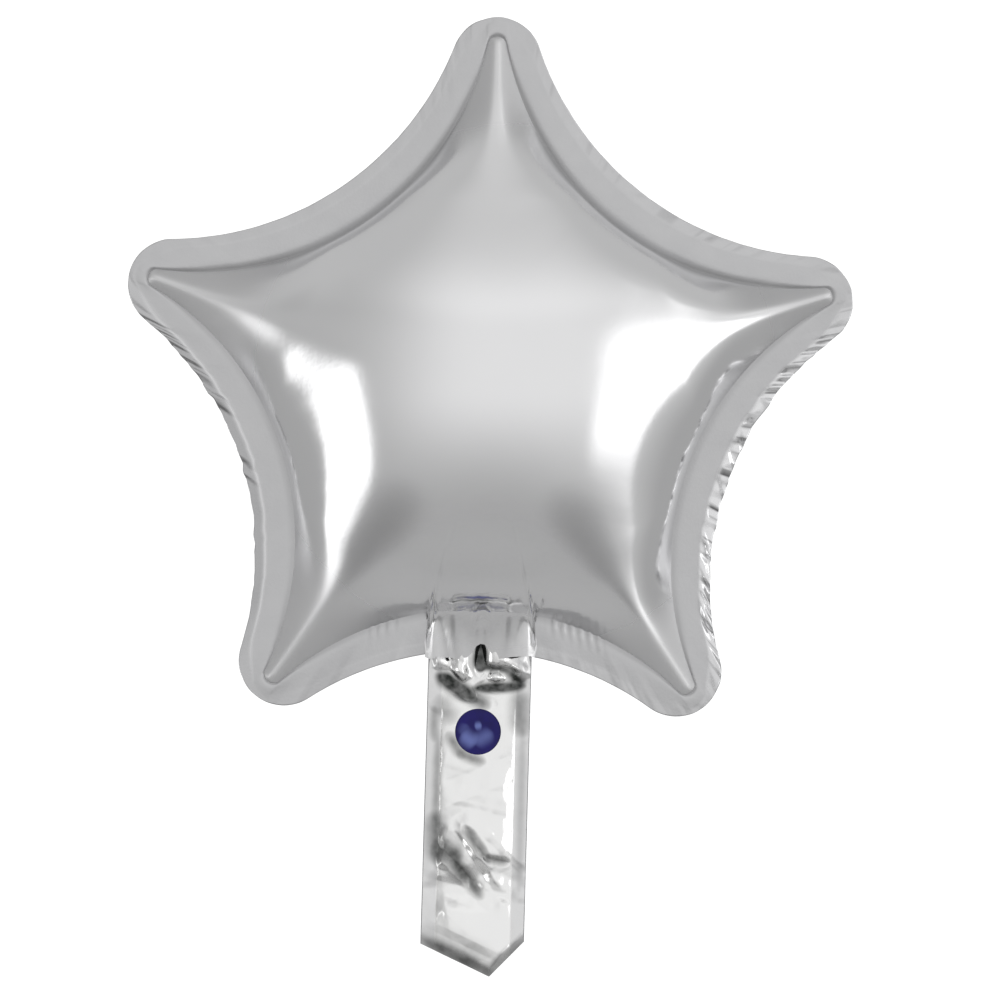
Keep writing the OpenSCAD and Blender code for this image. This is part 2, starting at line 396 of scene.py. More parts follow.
def facets(x, z, table):
    """Sum of rise * (ramp(across / width) - ramp((across - width) / run)), faded at the ends."""
    total = 0 * x
    for x0, z0, x1, z1, width, rise, run in np.array(table) * MM:
        length = np.hypot(x1 - x0, z1 - z0)
        dx, dz = (x1 - x0) / length, (z1 - z0) / length
        along = (x - x0) * dx + (z - z0) * dz
        across = (z - z0) * dx - (x - x0) * dz
        ends = step(-0.15, 0.1, along / length) * step(1.15, 0.9, along / length)
        total = total + ends * rise * (np.clip(across / width, 0, 1) - np.clip((across - width) / run, 0, 1))
    return total


def shade(x, z, table):
    """Painted shade along a table's strokes, and painted highlight where the blue disc uses it: 1 - product
    of (1 - amount) over the table's rows.
    """
    clean = 1 + 0 * x
    for row in table:
        clean = clean * (1 - np.clip(folds(x, z, (row,)) / MM, 0, 1))
    return 1 - clean


# %% [markdown]
# ## The funnel over the neck
#
# At the bottom hollow the skins aren't sealed: they run out over the seal and narrow into the
# neck, in a few upright folds. This funnel is low and nearly flat below the skins' foot, and
# climbs into the dome above it.

# %% The funnel
MOUTH_Z = 9.2 * MM                     # its lower end, where the ribbon gathers it
MOUTH_HALF = 15.5 * MM
FUNNEL_FOLDS = (
    (0, -2, 0.2, 22, 2.4, -0.7), (-4.4, -2, -9.5, 29, 3.4, 0.7), (4.2, -2, 9.2, 29, 3.4, 0.7),
    (-9.4, -2, -13.5, 25, 2.6, -0.6), (9.2, -2, 13.2, 25, 2.6, -0.6), (-13.2, 0, -15, 20, 1.8, 0.5),
    (13.2, 0, 15, 20, 1.8, 0.5), (-0.4, 17.5, 0.4, 21.5, 1.6, 0.8), (-17, 12, -17.6, 28, 2.2, -1.1),
    (17.2, 12, 18, 29, 2.4, -1.2),
)


def mouth_tab(x):
    """1 across the funnel's mouth, falling to 0 past its two sides."""
    return step(MOUTH_HALF + 1.6 * MM, MOUTH_HALF - 1.4 * MM, np.abs(x))


def mouth_line(x):
    """The mouth's lower edge: ragged, with a notch in the middle."""
    notch = 3.6 * MM * np.exp(-np.abs((x - 0.2 * MM) / (2.3 * MM)) ** 3)
    return MOUTH_Z - 1.4 * MM + 1.1 * MM * creased(x, 2.6 * MM, 77) + notch


def add_funnel(x, z, bottom_gap, dome):
    """The root of dome^2 + funnel^2: whichever is higher, joined smoothly.

    Over x = 0 the funnel's height is 1.8 + 0.25 (z - mouth) + 2.4 log(1 + exp((z - 20) / 4)) mm.
    """
    rise = 1.8 * MM + 0.25 * (z - MOUTH_Z) + 2.4 * MM * np.log1p(np.exp((z - 20 * MM) / (4 * MM)))
    half = MOUTH_HALF + 1.2 * MM + 0.6 * np.maximum(0, z - 20 * MM)
    bulge = np.maximum(0, 1 - (x / half) ** 2) ** 0.55
    share = step(44 * MM, 24 * MM, z) * step(26 * MM, 11 * MM, np.abs(x) - 0.4 * np.maximum(0, z - 24 * MM))
    past_foot = step(1 * MM, 0, bottom_gap) * (np.abs(x) < MOUTH_HALF + 3 * MM)
    share = np.maximum(share, past_foot)
    relief = folds(x, z, FUNNEL_FOLDS) * step(0, 0.5, bulge)
    return np.sqrt(dome**2 + (share * rise * bulge) ** 2) + share * relief


def stitches(x):
    """A row of small upright puckers on either side of the neck."""
    window = step(19 * MM, 23 * MM, x) * step(41 * MM, 36 * MM, x)
    window = window + 0.8 * step(-24 * MM, -27 * MM, x) * step(-37 * MM, -33 * MM, x)
    return window * np.cos(2 * np.pi * x / (2.8 * MM) + rolling(x, 5 * MM, 63))


# %% Angles round the star, an even distance apart along the outline
def even_angles(count, start=-np.pi / 2, turn=2 * np.pi):
    """Angles whose outline points are an even distance apart; the first is at start."""
    fine = start + np.linspace(0, turn, 20001)
    radius = outline_radius(fine, BODY_REACH, BODY_ROUND, BODY_HOLLOW)
    edge = np.stack([radius * np.cos(fine), radius * np.sin(fine)])
    length = np.concatenate([[0], np.cumsum(np.linalg.norm(np.diff(edge), axis=0))])
    return np.interp(np.linspace(0, length[-1], count), length, fine)


# %% The two blown-up skins
SKIN_COLUMNS, SKIN_RINGS = 660, 70
NECK_AREA_X, NECK_AREA_Z = 34 * MM, 50 * MM   # half width and top of where the funnel may reach


def star_skin(name, side, seed):
    """A dome over the star: rings of the outline shrunk by sin(u), lifted by the height at each point."""
    angle = even_angles(SKIN_COLUMNS + 1)[:-1]
    foot = outline_radius(angle, BODY_REACH, BODY_ROUND, BODY_HOLLOW)
    drop = (STAR_Z - mouth_line(foot * np.cos(angle))) / np.maximum(-np.sin(angle), 0.5) - foot
    foot = foot + np.where(np.sin(angle) < -0.5, drop * mouth_tab(foot * np.cos(angle)), 0)
    share = np.sin(np.pi / 2 * np.arange(1, SKIN_RINGS + 1) / SKIN_RINGS)[:, None]
    radius = share * foot
    x, z = radius * np.cos(angle), STAR_Z + radius * np.sin(angle)
    gaps, alongs = beside_hollows(x, z)
    height = blown_height(x, z, gaps)
    fade = np.minimum(1, height / (6 * MM))
    lift = height + fade * puckers(gaps, alongs, seed)
    low = z < NECK_AREA_Z
    beside_neck = np.where(low, np.exp(-np.abs(gaps[BOTTOM] - 1.5 * MM) / (2.2 * MM)) * stitches(x), 0)
    lift = lift + 0.3 * MM * step(0, 3 * MM, height) * beside_neck
    lift[-1] = 0
    near = low & (np.abs(x) < NECK_AREA_X)
    lift = np.where(near, add_funnel(x, z, gaps[BOTTOM], lift), lift)
    lift = np.maximum(lift, 0)
    beside = np.where(gaps[BOTTOM] <= 0, 0.25 * MM * step(0, 0.2, mouth_tab(x)), 0)
    centre = np.zeros(1), np.full(1, STAR_Z)
    middle = blown_height(*centre, beside_hollows(*centre)[0])
    points = np.vstack([[[0, side * (FILM + middle[0]), STAR_Z]],
                        stacked(x, side * (FILM + lift + beside), z)])
    faces = disc_faces(SKIN_RINGS, SKIN_COLUMNS)
    if side < 0:
        faces = [flipped(f) for f in faces]
    print(name, len(points), "points,", round(max(np.ravel(lift)) / MM, 1), "mm high")
    return film_shell(name, points, faces, -side * FILM)


front_skin = star_skin("front_skin", -1, seed=11)
rear_skin = star_skin("rear_skin", 1, seed=47)
for skin, node in ((front_skin, "front_panel"), (rear_skin, "rear_panel")):
    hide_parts(node)
    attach(skin, "balloon")

# %% [markdown]
# ## The sealed edge
#
# Round the whole star the two films are welded flat. Nothing stretches this band, so it
# crinkles: hardly at its inner side, where the gas pulls it straight, and most at its free
# outer side. It is a band across which one parameter runs from the skins' foot to the outline,
# and along which the other runs round the star, from one side of the neck to the other.

# %% The crinkled edge
RIM_COLUMNS, RIM_ROWS = 1500, 20
RIM_HALF = 0.15 * MM
# How crinkled the free edge is in each hollow, and how deep the line at the skins' foot is, with shade
# painted along that line
#              upper left  left  bottom  right  upper right
EDGE_STRENGTH = (0.12, 1.0, 0.15, 1.1, 0.15)
FOOT_STRENGTH = (1.0, 0.25, 0.3, 0.3, 1.0)


def by_hollow(angle, strengths, low):
    """Each hollow's strength in its middle, and a low one round the points."""
    beside = np.abs((angle[None, :] - HOLLOW_ANGLES[:, None] + np.pi) % (2 * np.pi) - np.pi)
    nearest = np.argmin(beside, axis=0)
    share = step(0.66, 0.42, beside.min(axis=0))
    return low + (np.array(strengths)[nearest] - low) * share


def rim_crinkle(angle, along, across):
    """How far the band leaves its plane: soft waves all over, sharp crinkles at the free side."""
    soft = by_hollow(angle, PUCKER_STRENGTH, 0.15)
    sharp = by_hollow(angle, EDGE_STRENGTH, 0.2)
    coarse = creased(along, 5.2 * MM, 3) * 0.8 * MM
    swell = rolling(along, 16 * MM, 9) * 0.8 * MM
    fine = creased(along + 1.2 * MM * across, 2.0 * MM, 5) * 0.75 * MM
    cross = creased(across * 13 * MM + 0.7 * along, 2.1 * MM, 8) * 0.65 * MM
    edge = step(0.66, 0.84, across)
    return soft * across**1.5 * (coarse + swell) + sharp * edge * (fine + cross)


def sealed_rim():
    """The band as a closed flat tube: front sheet, back sheet and the two narrow edges."""
    neck = np.arcsin(POUCH_HALF / HOLLOW_REACH)
    angle = even_angles(RIM_COLUMNS, -np.pi / 2 + neck, 2 * np.pi - 2 * neck)
    inner = outline_radius(angle, BODY_REACH, BODY_ROUND, BODY_HOLLOW) - SEAL_INSET
    outer = outline_radius(angle, POINT_REACH, POINT_ROUND, HOLLOW_REACH)
    edge = np.stack([outer * np.cos(angle), outer * np.sin(angle)])
    along = np.concatenate([[0], np.cumsum(np.linalg.norm(np.diff(edge), axis=0))])
    wobble = rolling(along, 2.4 * MM, 21) * 0.16 * MM + creased(along, 3.1 * MM, 23) * 0.35 * MM
    outer = outer + wobble * by_hollow(angle, EDGE_STRENGTH, 0.3)
    low = np.sin(angle) < -0.6
    across = 1 - (1 - np.linspace(0, 1, RIM_ROWS)[:, None]) ** 1.25
    radius = inner + (outer - inner) * across
    x, z = radius * np.cos(angle), STAR_Z + radius * np.sin(angle)
    free = np.maximum(0, (across * (outer - inner) - SEAL_INSET) / (outer - inner - SEAL_INSET))
    middle = rim_crinkle(angle, along, free)
    middle = middle - 0.3 * MM * low * stitches(x) * step(0.45, 0.1, free)
    foot = by_hollow(angle, FOOT_STRENGTH, 0.7)
    swell = 0.7 * MM * foot * step(0, 0.2, free) * step(1, 0.25, free)
    front, back = stacked(x, middle - swell - RIM_HALF, z), stacked(x, middle + swell + RIM_HALF, z)
    count = len(front)
    faces = [flipped(grid_faces(RIM_ROWS, RIM_COLUMNS)), grid_faces(RIM_ROWS, RIM_COLUMNS, first=count)]
    last = (RIM_ROWS - 1) * RIM_COLUMNS
    column = np.arange(RIM_COLUMNS - 1)
    row = np.arange(RIM_ROWS - 1) * RIM_COLUMNS
    end = row + RIM_COLUMNS - 1
    borders = ((column, column + 1), (last + column + 1, last + column),
               (row + RIM_COLUMNS, row), (end, end + RIM_COLUMNS))
    faces += [np.stack([a, b, count + b, count + a], 1) for a, b in borders]
    piece = link_mesh("sealed_rim", np.vstack([front, back]), faces)
    shiny = np.clip(by_hollow(angle, EDGE_STRENGTH, 0), 0, 1)
    # Painted darkness: dark spots on the crinkled free edge stand in for dark reflections, and a dark line
    # along the skins' foot for shade in the crease.
    spots = np.clip(2.2 * creased(along, 1.7 * MM, 41) - 0.9, 0, 1) * shiny
    painted_shade = 0.42 * foot * step(0.17, 0.04, free) + 0.95 * spots * step(0.70, 0.82, free)
    mark(piece, "painted_shade", np.tile(np.ravel(np.clip(painted_shade, 0, 1)), 2))
    mark(piece, "gloss", np.tile(np.ravel(shiny * step(0.68, 0.76, free)), 2))
    print("sealed_rim", 2 * count, "points,", round(along[-1] / MM), "mm round")
    return piece


rim = sealed_rim()
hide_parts("edge_seal")
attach(rim, "balloon")

# %% [markdown]
# ## The neck and the tail
#
# Below the star the same two films run on as a flat tube: the neck, pinched where a ribbon
# goes, and the tail, through which the balloon is filled. Their shape is one height function
# for the front film and one for the rear. The tube is welded flat down both sides, stands a
# little open between, is gathered into upright folds at the pinch, and has been handled, so it
# is crumpled below the hole.

# %% The creases that a hand and a ribbon left
NECK_FOLDS = (
    (0.2, 2, 0.2, 13, 2.4, -2.6), (-5.2, -1, -5.8, 15, 2.6, 0.9), (5.0, -1, 5.6, 15, 2.6, 0.9),
    (-9, -1, -10, 14, 2.2, -0.9), (9, -1, 10, 14, 2.2, -0.9), (-12.8, -1, -13.2, 13, 2.2, 0.8),
    (12.8, -1, 13.2, 13, 2.2, 0.8), (-15, 4, -0.5, -5.6, 3.6, -1.6), (-15, 8, -2, 1.4, 3.0, 1.3),
    (-2, -1.4, 16, -0.4, 2.8, -1.4), (-1, 5.2, 13, 3.4, 2.2, -1.0), (2, 1.9, 11.5, 1.4, 2.2, 0.9),
    (6, 8.2, 16.5, 2.8, 3.2, 1.6), (-5, -4.6, 6, -6.8, 3.6, -0.8), (-16, -7, 8, -9.6, 4.0, 0.6),
)
TAIL_FACETS = (
    (-6.9, -45.0, 5.8, -63.8, 2.5, 1.5, 8.0), (-10.5, -44.0, -12.6, -56.0, 2.4, 1.0, 5.0),
    (-13.0, -52.5, -1.0, -64.5, 2.8, -1.3, 7.0), (2.5, -47.5, 13.5, -58.0, 2.6, 0.9, 6.0),
    (-14, -76.0, 6.5, -85.0, 2.6, 0.5, 9.0),
)
TAIL_FOLDS = (
    (-4.2, -43.5, 4.9, -55.2, 2.6, -1.1), (2.4, -54.0, 11.0, -55.4, 2.2, -0.7), (3, -59, 17, -67, 3.5, 0.5),
)
# Where shade is painted into the metal's colour, in creases, in the slit and beside the disc: half width,
# then an amount that is cut off at 1
PAINTED_SHADE = (
    (0.2, 3.0, 0.2, 12.8, 3.2, 2.6), (-14, 3.0, -1.2, -5.2, 4.4, 1.5), (-6.4, -2.2, 4, -7.6, 4.0, 0.9),
    (-3, -1.8, 15, -0.6, 2.8, 1.5), (-1, 5.4, 11.5, 4.0, 2.2, 1.1), (8, 5.0, 14.4, -1.0, 3.2, 1.1),
    (12.0, -1, 13.6, -17, 5.4, 0.6), (-13.5, -4, -7, -13, 5.0, 0.4),
    (-9.8, -15.0, -4.0, -23.6, 3.2, 0.75), (-6.8, -21.4, 3, -24.6, 3.0, 0.7),
    (-12.4, -14, -12.2, -50, 2.4, 0.5), (13.8, -12, 14.0, -66, 2.2, 0.3),
    (-13.8, -7, -13.6, -19, 2.4, 0.5), (-12.6, -39, -11.2, -57, 5.6, 0.75),
    (-14, -51.0, -3.0, -53.4, 6.6, 0.8), (-8.0, -51, -2.8, -62.5, 5.2, 0.7),
    (-7.0, -54.2, 3.2, -67, 3.4, 0.9), (-4.2, -43.7, 5.0, -55.8, 2.6, 0.9),
    (2.2, -53.6, 11, -55.2, 2.8, 0.7), (-15.5, -79.6, 3.2, -88.2, 4.4, 0.75),
    (-4.4, -84.8, 8.4, -91, 3.6, 0.6), (3, -91, 17, -78.6, 3.6, 0.4),
    (-18, -75.6, 9.5, -86.4, 5.6, 0.3),
)


# %% The middle, the front and the rear of the tube
def tail_bottom(x):
    """The cut end: down to a blunt corner right of the middle, and up again."""
    return np.interp(x, [-TAIL_HALF, 5.5 * MM, TAIL_HALF], [END_Z + 9.5 * MM, END_Z, END_Z + 11 * MM])


def tube_middle(x, z):
    """The tube's own sway: it curls a little forwards as it hangs, and buckles."""
    drop = np.maximum(0, -z)
    curl = -6 * MM * (drop / (90 * MM)) ** 2
    buckle = 1.1 * MM * crumpled(x, z, 17 * MM, 31) * step(4 * MM, 25 * MM, drop)
    kink = folds(x, z, ((-16, -64.5, 16, -61, 9, -1.6),))
    cut = z - tail_bottom(x)
    turned_up = 0.5 * np.maximum(0, 5 * MM - cut) ** 2 / (5 * MM)
    return curl + buckle - kink + turned_up


def tube_opening(x, z):
    """Half of how far the two films stand apart: widest where the neck meets the star."""
    across = np.maximum(0, 1 - (x / POUCH_HALF) ** 2) ** 0.7
    neck = 1.7 * MM * step(1 * MM, 11 * MM, z)
    tail = 1.5 * MM * step(1 * MM, -12 * MM, z) * step(END_Z + 2 * MM, END_Z + 16 * MM, z)
    return 0.35 * MM + (neck + tail) * across


def handling(x, z, seed):
    """Crumples of one film: upright gathers at the pinch, facets below the hole."""
    inside = step(POUCH_HALF + 2 * MM, POUCH_HALF - 3 * MM, np.abs(x))
    gathers = 0.4 * MM * creased(x, 2.1 * MM, seed) * np.exp(-((z - 6 * MM) / (8 * MM)) ** 2)
    away = np.hypot(x, z - HOLE_Z) - HOLE_R
    calm = step(0, 6 * MM, away)
    pouch = step(-4 * MM, -24 * MM, z) * step(-80 * MM, -66 * MM, z)
    flats = 0.85 * MM * crumpled(x, z, 6.5 * MM, seed + 1) * (0.35 + 0.65 * pouch)
    small = 0.34 * MM * crumpled(x, z, 2.6 * MM, seed + 4) * pouch
    strips = 0.10 * MM * crumpled(x, z, 2.2 * MM, seed + 2)
    return calm * (inside * (gathers + flats + small) + strips)


NEAREST = 0.3 * MM                     # how close a crease may bring the front film to the middle


def front_film(x, z):
    """The middle - half the opening - the creases, kept a little in front of the middle."""
    away = np.hypot(x, z - HOLE_Z) - HOLE_R
    calm = step(-1 * MM, 5 * MM, away)
    relief = handling(x, z, 61) + calm * (folds(x, z, NECK_FOLDS + TAIL_FOLDS) + facets(x, z, TAIL_FACETS))
    middle = tube_middle(x, z)
    return np.minimum(middle - tube_opening(x, z) - relief, middle - NEAREST)


def rear_film(x, z):
    """The middle + half the opening + the crumples, kept a little behind the middle."""
    middle = tube_middle(x, z)
    return np.maximum(middle + tube_opening(x, z) + handling(x, z, 83), middle + 1.3 * NEAREST)


# %% [markdown]
# The front film has a round hole punched through it. A sheet with a hole is a grid too: one
# parameter runs round the hole and the other runs out from it to the sheet's straight edges,
# so every row is a step between a circle and a rectangle, and the hole is truly round.

# %% A film with a hole, and a plain film
NECK_TOP = MOUTH_Z + 6 * MM
SKIN_HALF = TAIL_HALF - 0.25 * MM


def skin_half_width(z):
    """The skins narrow a little towards the star, where their edges run in under the star's skin."""
    return SKIN_HALF - 1.5 * MM * step(4 * MM, 14 * MM, z)


def holed_film(name, columns, rows, top, bottom, half, surface, thickness=FILM):
    """Rays from the hole's edge to a rectangle's edge, surface(x, z) giving the height."""
    turn = 2 * np.pi * np.arange(columns) / columns
    up, down = top - HOLE_Z, HOLE_Z - bottom
    reach_x = half / np.maximum(np.abs(np.cos(turn)), 1e-9)
    reach_z = np.where(np.sin(turn) > 0, up, down) / np.maximum(np.abs(np.sin(turn)), 1e-9)
    reach = np.minimum(reach_x, reach_z)
    share = np.linspace(0, 1, rows)[:, None]
    radius = HOLE_R + (reach - HOLE_R) * share
    x, z = radius * np.cos(turn), HOLE_Z + radius * np.sin(turn)
    x = x * skin_half_width(z) / SKIN_HALF if half == SKIN_HALF else x
    points = stacked(x, surface(x, z), z)
    return film_shell(name, points, [grid_faces(rows, columns, closed=True)], thickness)


def plain_film(name, columns, rows, top, bottom, half, surface, side, thickness=FILM):
    """Straight rows from the top down to a bottom that may slope. side is -1 in front, 1 behind."""
    x = np.linspace(-half, half, columns)[None, :]
    share = np.linspace(0, 1, rows)[:, None]
    z = top + (bottom(x) - top) * share
    x = x * skin_half_width(z) / SKIN_HALF if half == SKIN_HALF else x + 0 * z
    points = stacked(x, surface(x, z), z)
    faces = grid_faces(rows, columns)
    return film_shell(name, points, [flipped(faces) if side < 0 else faces], -side * thickness)


# %% The neck and the upper tail, in front and behind
def mark_painted_shade(piece, amount):
    """Marks the painted shade at each point of a film."""
    spots = np.zeros(3 * len(piece.data.vertices))
    piece.data.vertices.foreach_get("co", spots)
    x, _, z = spots.reshape(-1, 3).T
    mark(piece, "painted_shade", amount * shade(x, z, PAINTED_SHADE))


def split_line(x):
    """Where the upper skins end, the same at every x."""
    return 0 * x + SPLIT_Z


upper_front = holed_film("tail_front_skin", 700, 60, NECK_TOP, SPLIT_Z, SKIN_HALF, front_film)
upper_rear = plain_film("tail_rear_skin", 90, 190, NECK_TOP, split_line, SKIN_HALF, rear_film, 1)
# Painted shade along the creases, fainter on the rear film.
for skin, side in ((upper_front, 1), (upper_rear, 0.4)):
    mark_painted_shade(skin, side)
for skin, nodes in ((upper_front, ("neck_front_leaf", "tail_front_leaf")),
                    (upper_rear, ("neck_rear_leaf", "tail_rear_leaf"))):
    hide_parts(*nodes)
    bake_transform(skin)

# %% The lower tail
lower_front = plain_film("tail_end_front_skin", 100, 150, SPLIT_Z, tail_bottom, SKIN_HALF, front_film, -1)
lower_rear = plain_film("tail_end_rear_skin", 100, 150, SPLIT_Z, tail_bottom, SKIN_HALF, rear_film, 1)
# Painted shade along the creases, fainter on the rear film.
mark_painted_shade(lower_front, 1)
mark_painted_shade(lower_rear, 0.4)
for skin, node in ((lower_front, "tail_end_front_leaf"), (lower_rear, "tail_end_rear_leaf")):
    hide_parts(node)
    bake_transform(skin)

# %% [markdown]
# ## The welds down the tail's sides
#
# The two films of the tube are welded along both sides. The weld shows as a thin cut edge that
# stands a hair past the films.

# %% Side welds
WELD_HALF = 0.12 * MM


def side_welds(name, top, bottom, rows):
    """Two flat closed strips that follow the tube's middle."""
    blocks, faces = [], []
    for side in (-1, 1):
        across = np.array([POUCH_HALF - 1 * MM, TAIL_HALF])
        ring_x = side * across[[0, 1, 1, 0]]
        ring_y = np.array([-1, -1, 1, 1]) * WELD_HALF
        share = np.linspace(0, 1, rows)[:, None]
        z = top + (bottom(ring_x) - top) * share
        x = ring_x + 0 * z
        first = sum(len(b) for b in blocks)
        blocks.append(stacked(x, tube_middle(x, z) + ring_y, z))
        wall = grid_faces(rows, 4, closed=True, first=first)
        last = first + 4 * (rows - 1)
        ends = np.array([[first, first + 1, first + 2, first + 3], [last + 3, last + 2, last + 1, last]])
        strip = np.vstack([wall, flipped(ends)])
        faces.append(flipped(strip) if side > 0 else strip)
    return link_mesh(name, np.vstack(blocks), faces)


upper_welds = side_welds("tail_side_welds", 9 * MM, split_line, 110)
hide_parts("neck_side_seals", "tail_side_seals")
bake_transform(upper_welds)
lower_welds = side_welds("tail_end_welds", SPLIT_Z, tail_bottom, 90)
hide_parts("tail_end_seal")
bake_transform(lower_welds)

# %% [markdown]
# ## The valve behind the hole
#
# Two clear films lie against the front film inside the tail. The front one has the same hole,
# and the rear one carries a dark blue release coat there, so that heat can't weld the channel
# shut. The coat is all that shows, as a blue disc in the hole.

# %% Valve films and the blue disc
VALVE_HALF = valve_high.x
VALVE_TOP = valve_high.z - 2 * MM
VALVE_FILM = 0.05 * MM
# How far each lies behind the front film's surface
VALVE_FRONT_DEPTH, DISC_DEPTH, VALVE_REAR_DEPTH = 0.25 * MM, 0.45 * MM, 0.6 * MM


def behind_front(depth):
    """The front film's own surface, moved back by a depth."""
    return lambda x, z: front_film(x, z) + depth


valve_front = holed_film("valve_front_sheet", 240, 20, VALVE_TOP, valve_low.z,
                         VALVE_HALF, behind_front(VALVE_FRONT_DEPTH), VALVE_FILM)
valve_rear = plain_film("valve_rear_sheet", 40, 70, VALVE_TOP,
                        lambda x: 0 * x + valve_low.z, VALVE_HALF,
                        behind_front(VALVE_REAR_DEPTH), 1, VALVE_FILM)
for sheet, node in ((valve_front, "valve_front_film"), (valve_rear, "valve_rear_film")):
    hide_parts(node)
    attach(sheet, "tail")


# Painted highlights on the blue coat, in the same terms as the painted shade table, from the middle of the
# hole
PAINTED_HIGHLIGHTS = ((-5.4, -0.8, -0.4, -4.0, 3.8, 1.0), (-1.4, -3.6, 4.8, 0.0, 3.6, 0.7),
              (-1.2, 1.6, 1.2, 2.0, 1.9, 1.1), (-3.4, 2.4, -5.4, -1.2, 2.6, 0.35))


def blue_disc(name, columns=96, rings=24):
    """A disc on the rear valve film, raised in a soft ring near its edge and dimpled in its middle."""
    turn = 2 * np.pi * np.arange(columns) / columns
    radius = (HOLE_R + 0.3 * MM) * (np.arange(1, rings + 1) / rings)[:, None]
    x, z = radius * np.cos(turn), HOLE_Z + radius * np.sin(turn) + 0 * radius
    swell = 0.22 * MM * np.exp(-((radius - 5.2 * MM) / (1.6 * MM)) ** 2) + 0 * turn
    rise = swell + 0.10 * MM * crumpled(x, z, 3.4 * MM, 17)
    y = front_film(x, z) + DISC_DEPTH - rise
    centre = front_film(np.zeros(1), np.full(1, HOLE_Z))[0] + DISC_DEPTH
    points = np.vstack([[[0, centre, HOLE_Z]], stacked(x, y, z)])
    piece = film_shell(name, points, disc_faces(rings, columns), VALVE_FILM)
    # Painted highlights: paler patches in the blue where the coat catches light.
    painted_highlight = shade(points[:, 0], points[:, 2] - HOLE_Z, PAINTED_HIGHLIGHTS)
    mark(piece, "painted_highlight", np.tile(painted_highlight, 2))
    return piece


disc = blue_disc("blue_disc")
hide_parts("release_patch")
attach(disc, "tail")

# %% [markdown]
# ## Shader maths as plain expressions
#
# A material is a formula. The class below wraps one socket, so that adding or multiplying two
# of them adds the Math node that does it, and a formula can be read as a formula.

# %% A socket that can be calculated with
def sign(operation, swapped=False):
    """A method that adds one Math node."""
    def method(self, other):
        first, second = (other, self) if swapped else (self, other)
        return self.finish.node("ShaderNodeMath", {"operation": operation}, {0: first, 1: second})
    return method


class Wire:
    """A shader value: + - * / and ** on it add Math nodes."""

    def __init__(self, finish, socket):
        self.finish, self.socket = finish, socket

    __add__ = __radd__ = sign("ADD")
    __mul__ = __rmul__ = sign("MULTIPLY")
    __sub__, __rsub__ = sign("SUBTRACT"), sign("SUBTRACT", swapped=True)
    __truediv__, __pow__ = sign("DIVIDE"), sign("POWER")

    def rise(self, low, high, bottom=0.0, top=1.0):
        """An even step from bottom at low to top at high."""
        return self.finish.node("ShaderNodeMapRange", {"interpolation_type": "SMOOTHSTEP"},
                                {"Value": self, "From Min": low, "From Max": high,
                                 "To Min": bottom, "To Max": top})


class Finish:
    """One material, with a Principled surface to plug things into."""

    def __init__(self, name, **constants):
        self.material = bpy.data.materials.new(name)
        self.material.use_nodes = True
        self.tree = self.material.node_tree
        self.surface = self.tree.nodes["Principled BSDF"]
        for key, value in constants.items():
            self.surface.inputs[key.replace("_", " ").title().replace("Ior", "IOR")].default_value = value

    def node(self, kind, settings=None, inputs=None, output=0):
        """Adds a node: its settings first, then the values or links of its sockets."""
        made = self.tree.nodes.new(kind)
        for key, value in (settings or {}).items():
            setattr(made, key, value)
        for key, value in (inputs or {}).items():
            if isinstance(value, Wire):
                self.tree.links.new(value.socket, made.inputs[key])
            else:
                made.inputs[key].default_value = value
        return Wire(self, made.outputs[output])

    def plug(self, **wires):
        """Links values to the surface's sockets."""
        for key, wire in wires.items():
            self.tree.links.new(wire.socket, self.surface.inputs[key.replace("_", " ").title()])
        return self

    def place(self, scale=(1, 1, 1)):
        """Object coordinates, stretched."""
        where = self.node("ShaderNodeTexCoord", output="Object")
        return self.node("ShaderNodeMapping", inputs={"Vector": where, "Scale": scale})

    def noise(self, size, detail=2.0, place=None, **extra):
        """Noise whose blobs are about size metres across."""
        inputs = {"Vector": place or self.place(), "Scale": 1 / size, "Detail": detail, **extra}
        return self.node("ShaderNodeTexNoise", inputs=inputs)

    def marked(self, name):
        """A number that the piece's points carry."""
        return self.node("ShaderNodeAttribute", {"attribute_name": name}, output="Fac")

    def parts(self, vector):
        """The x, y and z of a vector."""
        split = self.node("ShaderNodeSeparateXYZ", inputs={0: vector})
        return [Wire(self, split.socket.node.outputs[k]) for k in range(3)]

    def blend_colour(self, share, first, second):
        """A mix of two colours; each is three numbers or another mix."""
        first, second = (c if isinstance(c, Wire) else (*c, 1) for c in (first, second))
        return self.node("ShaderNodeMix", {"data_type": "RGBA"},
                         {"Factor": share, 6: first, 7: second}, output=2)

    def bump(self, height, strength, distance):
        return self.node("ShaderNodeBump", inputs={"Height": height, "Strength": strength,
                                                    "Distance": distance})


def dress(finish, *pieces):
    """Gives the pieces one material."""
    for piece in pieces:
        piece.data.materials.clear()
        piece.data.materials.append(finish.material)


# %% [markdown]
# ## The finishes
#
# All the silver is one metal-coated film, a mirror that is very slightly milky. On the skins
# its gloss drifts in broad, faint clouds. The weld bars press a fine grain into the sealed
# edge, so it is duller. The handled tail keeps hair-fine wrinkles.

